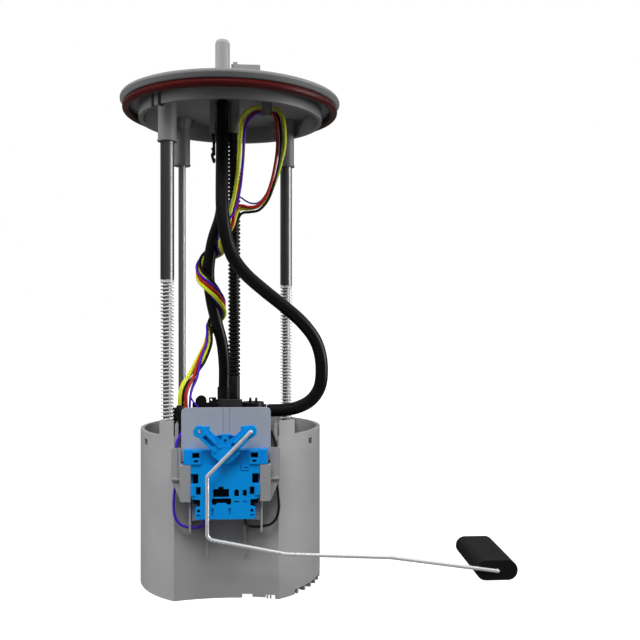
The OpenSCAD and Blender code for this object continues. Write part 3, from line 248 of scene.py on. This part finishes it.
def surface(name, color, rough=0.5, vary=0.08, metallic=0.0, specular=0.5, grain=1800, bump=0.12, depth=0.00006,
            blotch=22, stretch=(1, 1, 1), rough_vary=0.07, coat=0.0, edge=0.0, sheen=0.0):
    """A moulded, drawn or cast surface: large faint blotches in the colour, fine grain in the relief and the gloss."""
    m, tree, bsdf = new_material(name)
    vector = coords(tree, stretch)
    big = noise(tree, vector, blotch, 3)
    dark = tuple(c * (1 - vary) for c in color)
    light = tuple(min(1, c * (1 + vary)) for c in color)
    tree.links.new(ramp(tree, big, [(0.3, dark), (0.7, light)]), bsdf.inputs["Base Color"])
    fine = noise(tree, vector, grain, 5, 0.6)
    mid = noise(tree, vector, grain / 9, 4, 0.6)
    tree.links.new(spread(tree, mid, max(0.02, rough - rough_vary), min(1, rough + rough_vary)), bsdf.inputs["Roughness"])
    bsdf.inputs["Metallic"].default_value = metallic
    bsdf.inputs["Specular IOR Level"].default_value = specular
    if coat:
        bsdf.inputs["Coat Weight"].default_value = coat
        bsdf.inputs["Coat Roughness"].default_value = 0.18
    if sheen:
        bsdf.inputs["Sheen Weight"].default_value = sheen
    b = tree.nodes.new("ShaderNodeBump")
    b.inputs["Strength"].default_value = bump
    b.inputs["Distance"].default_value = depth
    tree.links.new(fine, b.inputs["Height"])
    if edge:
        bev = tree.nodes.new("ShaderNodeBevel")
        bev.samples = 4
        bev.inputs["Radius"].default_value = edge
        tree.links.new(bev.outputs["Normal"], b.inputs["Normal"])
    tree.links.new(b.outputs["Normal"], bsdf.inputs["Normal"])
    return m


MAT = {
    "grey_plastic": surface("grey_plastic", (0.33, 0.33, 0.335), 0.48, edge=0.0004),
    # flange_plastic is the grey plastic made darker: painted shade for the flange's underside, skirt and bosses, which
    # lie in shadow under the rim
    "flange_plastic": surface("flange_plastic", (0.20, 0.20, 0.205), 0.50, edge=0.0004),
    "pot_plastic": surface("pot_plastic", (0.30, 0.30, 0.305), 0.50, edge=0.0004),
    "plate_plastic": surface("plate_plastic", (0.33, 0.36, 0.42), 0.42, edge=0.0003),
    "seal_rubber": surface("seal_rubber", (0.060, 0.0022, 0.0025), 0.42, vary=0.15, specular=0.22),
    "black_plastic": surface("black_plastic", (0.006, 0.006, 0.0065), 0.42, vary=0.2, edge=0.0003, specular=0.25),
    "dark_grey_plastic": surface("dark_grey_plastic", (0.030, 0.030, 0.032), 0.45, vary=0.15, edge=0.0003, specular=0.3),
    "hose_rubber": surface("hose_rubber", (0.0035, 0.0035, 0.0038), 0.32, vary=0.2, grain=900, bump=0.06, specular=0.22),
    "corrugated_plastic": surface("corrugated_plastic", (0.004, 0.004, 0.0043), 0.28, vary=0.2, grain=900, bump=0.05, specular=0.3),
    "black_rubber": surface("black_rubber", (0.006, 0.006, 0.006), 0.6, vary=0.2, specular=0.2),
    "wire_yellow": surface("wire_yellow", (0.62, 0.68, 0.03), 0.34, vary=0.08, grain=1200, bump=0.05, specular=0.3),
    "wire_red": surface("wire_red", (0.42, 0.016, 0.012), 0.34, vary=0.12, grain=1200, bump=0.05, specular=0.3),
    "wire_purple": surface("wire_purple", (0.050, 0.010, 0.42), 0.34, vary=0.12, grain=1200, bump=0.05, specular=0.3),
    "wire_black": surface("wire_black", (0.005, 0.005, 0.0055), 0.34, vary=0.15, grain=1200, bump=0.05, specular=0.25),
    "sensor_blue": surface("sensor_blue", (0.0, 0.265, 0.72), 0.38, vary=0.07, edge=0.00025, specular=0.25),
    "spring_steel": surface("spring_steel", (0.80, 0.80, 0.81), 0.34, metallic=0.4, vary=0.06, grain=2500, bump=0.04),
    "rod_steel": surface("rod_steel", (0.36, 0.36, 0.37), 0.50, metallic=1.0, vary=0.05, grain=500, bump=0.10, stretch=(6, 6, 0.4)),
    "sleeve_steel": surface("sleeve_steel", (0.20, 0.20, 0.21), 0.38, metallic=1.0, vary=0.08, grain=500, bump=0.08, stretch=(6, 6, 0.4)),
    "arm_steel": surface("arm_steel", (0.80, 0.80, 0.81), 0.26, metallic=0.6, vary=0.05, grain=1500, bump=0.05),
    "pump_steel": surface("pump_steel", (0.58, 0.58, 0.60), 0.32, metallic=1.0, vary=0.06, grain=500, bump=0.08, stretch=(5, 5, 0.5)),
    "cast_aluminium": surface("cast_aluminium", (0.58, 0.58, 0.59), 0.46, metallic=1.0, vary=0.08, grain=700, bump=0.3),
    "brass_contact": surface("brass_contact", (0.72, 0.50, 0.20), 0.28, metallic=1.0, vary=0.06, grain=1500, bump=0.05),
    "copper": surface("copper", (0.62, 0.27, 0.12), 0.30, metallic=1.0, vary=0.1, grain=1500, bump=0.08, stretch=(1, 1, 8)),
    "lamination_steel": surface("lamination_steel", (0.14, 0.14, 0.15), 0.45, metallic=0.9, vary=0.1, grain=900, bump=0.25, stretch=(0.3, 0.3, 6)),
    "ferrite": surface("ferrite", (0.05, 0.05, 0.055), 0.55, vary=0.15, grain=1500, bump=0.2),
    "carbon": surface("carbon", (0.03, 0.03, 0.03), 0.6, vary=0.2, grain=1500, bump=0.2),
    "phenolic": surface("phenolic", (0.10, 0.06, 0.035), 0.5, vary=0.1),
    "acetal": surface("acetal", (0.60, 0.56, 0.45), 0.4, vary=0.05),
    "valve_brass": surface("valve_brass", (0.60, 0.48, 0.26), 0.3, metallic=1.0, vary=0.06),
    # the sensor card is near-black: partly its own dark colour, partly painted shade that makes the windows in front of
    # it look black
    "card_ceramic": surface("card_ceramic", (0.004, 0.004, 0.006), 0.5, vary=0.1, specular=0.15),
    "filter_mesh": surface("filter_mesh", (0.04, 0.04, 0.038), 0.75, vary=0.2, grain=2600, bump=0.8, depth=0.0003),
    "float_black": surface("float_black", (0.006, 0.006, 0.0065), 0.6, vary=0.25, grain=1400, bump=0.25, depth=0.00012, specular=0.15),
}

for part in frame["record"]["subparts"]:
    o = nodes[part["node"]]
    o.data.materials.clear()
    o.data.materials.append(MAT[part["material_slot"]])


def dress(obj, slot, body=None, node=None):
    """Gives a piece its material and slot and the body that it rides on, and hides the node that it stands for."""
    obj.data.materials.clear()
    obj.data.materials.append(MAT[slot])
    if body:
        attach(obj, body)
    if node:
        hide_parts(node)
    return obj


# ------------------------------------------------------------------ wires
HOSE_A = vec([[-4.9, -14, 314.8], [-5, -14, 299], [-4.9, -17, 284], [-4.6, -24, 262], [-4.1, -30, 245], [-3, -32.5, 233.5], [-0.8, -33.5, 221.5],
              [3.3, -33.5, 210.2], [10.9, -33, 200.1], [22.2, -31.5, 190.1], [34.9, -29, 180], [46.6, -26, 169.7], [54.8, -23.5, 159.3],
              [58.8, -21.5, 148.9], [60, -19.5, 137], [58.5, -18, 126.5], [53, -17, 118.4], [44.5, -16, 113.7], [35, -16, 112], [24.1, -16, 111.7]])
HOSE_B = vec([[-5.5, -4, 311], [-5.5, -4, 284.5], [-5.6, -3.5, 258], [-6.8, -3.5, 241.5], [-11.6, -3.5, 226], [-14.1, -3, 213], [-15, -2.5, 200.5],
              [-13, -2, 184], [-9.8, 0, 169.5], [-6.4, 3, 155.5], [-5, 5.5, 140.5], [-5, 6, 126.5], [-5, 6, 115]])
LOOM = vec([[2.2, -23, 240], [1.4, -23, 234], [-0.6, -22.5, 229.5], [-3.4, -19, 225.5], [-5.4, -13.8, 222], [-6.3, -8, 219.6], [-6.2, -3, 218.8],
            [-8.8, 1.9, 217], [-14.2, 3.4, 214.3], [-19.2, 1.7, 209.5], [-21.3, -2.6, 203.5], [-19.3, -7, 198], [-14.2, -8.8, 192.8],
            [-8.8, -6.7, 186.8], [-5.9, -1.6, 180.6], [-6.6, 3.7, 175.5], [-10.2, 6.3, 171], [-13.8, 5.2, 166.8], [-15, 1, 161.5], [-16.2, -4, 154],
            [-20, -12, 144.5]])
# diameter, moved up along the inner hose, moved away from it, first bundle point, upper part, lower part
WIRES = {
    "wire_yellow": (2.6, -2, 0.9, 0,
        [[20, -10, 312.3], [16.5, -10.8, 311.8], [13, -12.3, 309.8], [10, -14.8, 306.7], [7.8, -18, 300.3], [7, -21, 289.5], [6.3, -22.6, 277.5],
         [5.3, -23.6, 264.5], [3.6, -24.5, 252.5], [2, -24.7, 245.5]],
        [[-26, -25, 135], [-29.3, -30.5, 129], [-30.5, -32, 123], [-30.6, -32, 117.2]]),
    "wire_red": (2.0, 0.6, 1.2, 0,
        [[20, -10, 309.5], [16.5, -11, 308.8], [12.8, -13, 305.4], [10.5, -16, 299.8], [9.5, -19.2, 291], [8.9, -21.2, 277.5], [7.8, -22.2, 264.5],
         [6, -23, 252.5], [4.7, -23.5, 246]],
        [[-22.5, -25, 135], [-25.3, -30, 128.5], [-26.8, -32, 123], [-26.6, -32.5, 112], [-26.6, -32.5, 100.3]]),
    "wire_purple": (1.5, 2.75, 1.45, 6,
        [[20, -12, 307.5], [17, -14, 306.5], [13.5, -17, 303], [11, -21, 298], [9.5, -24.5, 288], [9, -26, 273.5], [8, -26.5, 261],
         [6.6, -26.8, 251.5], [5, -27, 245], [2.7, -27.2, 239.5], [-0.1, -27.2, 235.2], [-3, -25.3, 232.3], [-4.9, -21, 231.4], [-4.6, -16.5, 230.2],
         [-3.1, -12.4, 228.6], [-2.9, -9.3, 226.6]],
        [[-20.2, -25.5, 134.5], [-22.9, -29.8, 127.5], [-24, -32.3, 121.5], [-24.2, -33, 112], [-24.2, -33, 100.3]]),
    "loop_yellow": (2.5, 1.95, -0.95, 1,
        [[28.2, -10, 311.5], [31, -10.9, 310.6], [33.6, -12.4, 307], [35.4, -14, 300.5], [35.8, -16, 286], [33.5, -16, 275], [30.5, -16, 264.5],
         [25.5, -16.5, 253.5], [19, -17, 246], [12.5, -17.8, 243.8], [8.2, -18.8, 243.6], [5.2, -20, 241.7], [3.8, -20.9, 238]],
        [[-21.6, -17.2, 136.5], [-24.7, -20.6, 131.8], [-26.9, -23.2, 126.5], [-27.7, -24.6, 120.5], [-27.2, -23, 112.5], [-25.4, -17.5, 107],
         [-23, -10, 105], [-19.8, -4, 105]]),
    "loop_red": (2.0, -0.5, -1.2, 0,
        [[28, -12.3, 308.5], [29.4, -13, 305.6], [30.4, -14.3, 301], [31, -15.6, 292], [30.8, -17, 282], [29.3, -19.5, 271], [27, -20.2, 260.5],
         [23.3, -20.2, 251], [18, -20.2, 245.4], [12.5, -20.7, 244.3], [9, -21, 245], [5.8, -21.3, 245], [3.3, -21.5, 243.3]],
        [[-22.1, -12.8, 140.2], [-25.2, -15.8, 136], [-28.4, -20.4, 131.2], [-30.8, -23.2, 126], [-31.6, -24.2, 120], [-31.6, -24.2, 110],
         [-31.6, -24.2, 100.3]]),
    "loop_black": (1.8, 4.3, -1.25, 1,
        [[28.2, -10, 308.8], [30.4, -10.8, 307.6], [32, -12.2, 304], [33, -14.2, 298], [33.6, -16.4, 291.5], [33.4, -18.2, 284], [31.9, -18.4, 273],
         [29.4, -18.6, 262], [25.5, -19, 250.5], [19.5, -19, 243], [13, -19, 241.3], [9, -19, 240.9], [6.3, -19.4, 238.6]],
        [[-18.9, -17.8, 139.8], [-22.1, -20.6, 135.6], [-26, -24.6, 131.2], [-28.2, -26.8, 127], [-29.2, -27.6, 121.5], [-29.4, -27.6, 111],
         [-29.4, -27.6, 100.3]]),
    "loop_purple": (1.1, -2.2, -1.55, 1,
        [[27.9, -7.5, 309.5], [29.2, -8, 306.5], [30.6, -10.2, 301], [31, -12.8, 292], [30.7, -15.3, 282], [29.5, -17.3, 271], [27.1, -18, 260.5],
         [23.2, -18.4, 252.5], [18.9, -18.6, 247.7], [14.3, -19, 247], [10.6, -19.6, 248.4], [7.2, -20.4, 250.6], [3.6, -21.2, 251.2],
         [0.8, -21.4, 248.3], [-0.6, -22.2, 243]],
        [[-20.2, -11, 138.6], [-22, -15, 134.2], [-24.2, -22.4, 127], [-24.3, -27.4, 122.8], [-22.2, -30, 119], [-18.4, -30.8, 114.6],
         [-15.8, -27.5, 107.5], [-15, -8.5, 105]]),
}
COLOUR = {"wire_yellow": "wire_yellow", "wire_red": "wire_red", "wire_purple": "wire_purple", "loop_yellow": "wire_yellow",
          "loop_red": "wire_red", "loop_black": "wire_black", "loop_purple": "wire_purple"}

for name, (dia, a, b, first, top, end) in WIRES.items():
    route = spline(vec(top) + around(LOOM, a, b, first) + vec(end), 6)
    piece = tube(name + "_lead", route, dia / 2, 14)
    dress(piece, COLOUR[name], node=name)
    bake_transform(piece)

# ------------------------------------------------------------------ hoses
for name, route in (("regulator_hose", spline(HOSE_A, 8)), ("supply_hose", spline(HOSE_B, 8))):
    n = len(route)
    radii = [4.15 if name == "regulator_hose" else 3.95] * n
    radii[0] = radii[-1] = 3.6
    piece = tube(name + "_tube", route, radii, 28)
    dress(piece, "hose_rubber", node=name)
    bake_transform(piece)

profile = [(0, 114.5), (3.5, 114.5), (3.75, 114.8), (3.75, 133.9), (3.4, 134.5)]
for i in range(58):
    z = 134.5 + 2.65 * i
    profile += [(3.0, z + 0.02), (3.45, z + 0.15), (3.88, z + 0.45), (4.05, z + 0.85), (4.05, z + 1.25), (3.88, z + 1.65), (3.45, z + 1.95), (3.0, z + 2.1)]
profile += [(3.0, 288.1), (3.6, 288.3), (3.75, 288.7), (3.75, 293.6), (3.5, 293.95), (0, 293.95)]
piece = lathe("return_hose_tube", profile, (2.6, -11, 0), 40, closed=False)
dress(piece, "corrugated_plastic", node="return_hose")
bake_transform(piece)

# ------------------------------------------------------------------ springs
for tag, (sx, sy) in (("left", (-37.5, -38.5)), ("right", (37.5, 38.5))):
    route = []
    z0, z1, r = 96.47, 195.73, 3.825
    turns, seg = 46, 22
    # closed ends, open coils between
    for i in range(turns * seg + 1):
        q = i / seg
        if q < 1.5:
            z = z0 + 0.86 * q
        elif q > turns - 1.5:
            z = z1 - 0.86 * (turns - q)
        else:
            z = z0 + 1.29 + (z1 - z0 - 2.58) * (q - 1.5) / (turns - 3)
        route.append(Vector((sx + r * math.cos(2 * math.pi * q), sy + r * math.sin(2 * math.pi * q), z)))
    piece = tube("spring_" + tag, route, 0.43, 10)
    dress(piece, "spring_steel", "reservoir")
    if tag == "left":
        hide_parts("coil_springs")
    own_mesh(piece)

# ------------------------------------------------------------------ sensor leads
LEAD_L = vec([[-24.5, -38, 98.2], [-24.5, -38.4, 101.4], [-24.6, -42.6, 103.4], [-25.4, -46.6, 103.8], [-26.9, -50.6, 102.8], [-28.7, -53.6, 99.6],
              [-30, -54.5, 95], [-30.2, -54.7, 86], [-30.2, -54.7, 76], [-31.2, -54.8, 65], [-31.4, -55, 57.5], [-30.2, -55, 51.5], [-27, -55, 47.6],
              [-22, -55, 46.1], [-16.5, -55.5, 46.1], [-13.2, -57.6, 48.2], [-12.5, -59, 52]])
LEAD_R = vec([[24.5, -38, 98.2], [24.5, -38.4, 101.4], [24.6, -42.6, 103.4], [25.4, -46.6, 103.8], [26.9, -50.6, 102.8], [28.7, -53.6, 99.6],
              [30, -54.5, 95], [30.2, -54.7, 86], [30.2, -54.7, 76], [31.4, -54.8, 65], [31.9, -55, 57.5], [30.6, -55, 51.5], [27.4, -55, 47.6],
              [22, -55, 46.1], [15.8, -55.5, 46.1], [12.2, -57.6, 48.2], [11.5, -59, 52]])
for name, pts, slot_name in (("lead_purple_fixed", LEAD_L, "wire_purple"), ("lead_black_fixed", LEAD_R, "wire_black")):
    piece = tube(name + "_lead", spline(pts, 6), 0.8, 14)
    dress(piece, slot_name, "reservoir", name)

# ------------------------------------------------------------------ floor, light
floor_mat, tree, bsdf = new_material("floor")
bsdf.inputs["Base Color"].default_value = (0.30, 0.30, 0.30, 1)
bsdf.inputs["Roughness"].default_value = 0.9
bsdf.inputs["Specular IOR Level"].default_value = 0.1
bsdf.inputs["Emission Color"].default_value = (1, 1, 1, 1)
bsdf.inputs["Emission Strength"].default_value = 0.98
floor = make("floor", [(-20, -8, 0), (20, -8, 0), (20, 40, 0), (-20, 40, 0)], [(0, 1, 2, 3)], smooth=False)
floor.data.materials.append(floor_mat)
floor.visible_diffuse = False
floor.visible_glossy = False

# a pale studio: brighter above, darker below, plain white behind
world = bpy.data.worlds.new("studio")
world.use_nodes = True
tree = world.node_tree
out = next(n for n in tree.nodes if n.type == "OUTPUT_WORLD")
soft = next(n for n in tree.nodes if n.type == "BACKGROUND")
tc = tree.nodes.new("ShaderNodeTexCoord")
split = tree.nodes.new("ShaderNodeSeparateXYZ")
tree.links.new(tc.outputs["Generated"], split.inputs["Vector"])
height = tree.nodes.new("ShaderNodeMapRange")
height.inputs["From Min"].default_value = -1
height.inputs["From Max"].default_value = 1
tree.links.new(split.outputs["Z"], height.inputs["Value"])
sky = ramp(tree, height.outputs["Result"], [(0.0, (0.30, 0.30, 0.30)), (0.38, (0.15, 0.15, 0.15)), (0.47, (0.09, 0.09, 0.09)), (0.56, (0.12, 0.12, 0.12)), (1.0, (0.80, 0.80, 0.80))])
tree.links.new(sky, soft.inputs["Color"])
soft.inputs["Strength"].default_value = 1.0
plain = tree.nodes.new("ShaderNodeBackground")
plain.inputs["Color"].default_value = (1, 1, 1, 1)
path = tree.nodes.new("ShaderNodeLightPath")
mix = tree.nodes.new("ShaderNodeMixShader")
tree.links.new(path.outputs["Is Camera Ray"], mix.inputs["Fac"])
tree.links.new(soft.outputs["Background"], mix.inputs[1])
tree.links.new(plain.outputs["Background"], mix.inputs[2])
tree.links.new(mix.outputs["Shader"], out.inputs["Surface"])
bpy.context.scene.world = world


def area(name, at, target, size, power, color=(1, 1, 1)):
    data = bpy.data.lights.new(name, "AREA")
    data.shape = "RECTANGLE"
    data.size, data.size_y = size
    data.energy = power
    data.color = color
    light = bpy.data.objects.new(name, data)
    bpy.context.scene.collection.objects.link(light)
    light.location = at
    light.rotation_euler = (Vector(target) - Vector(at)).to_track_quat("-Z", "Y").to_euler()
    return light


key = area("key", (-0.1, -1.2, 1.9), (0, 0, 0.16), (1.3, 0.9), 38)
key.visible_glossy = False
area("strip", (1.5, -0.2, 0.3), (0, 0, 0.1), (0.6, 1.1), 17)
left = area("left", (-1.5, -0.2, 0.3), (0, 0, 0.1), (0.6, 1.1), 17)
left.visible_glossy = False
area("top", (0, 0.3, 1.6), (0, 0, 0.2), (1.2, 1.2), 4)
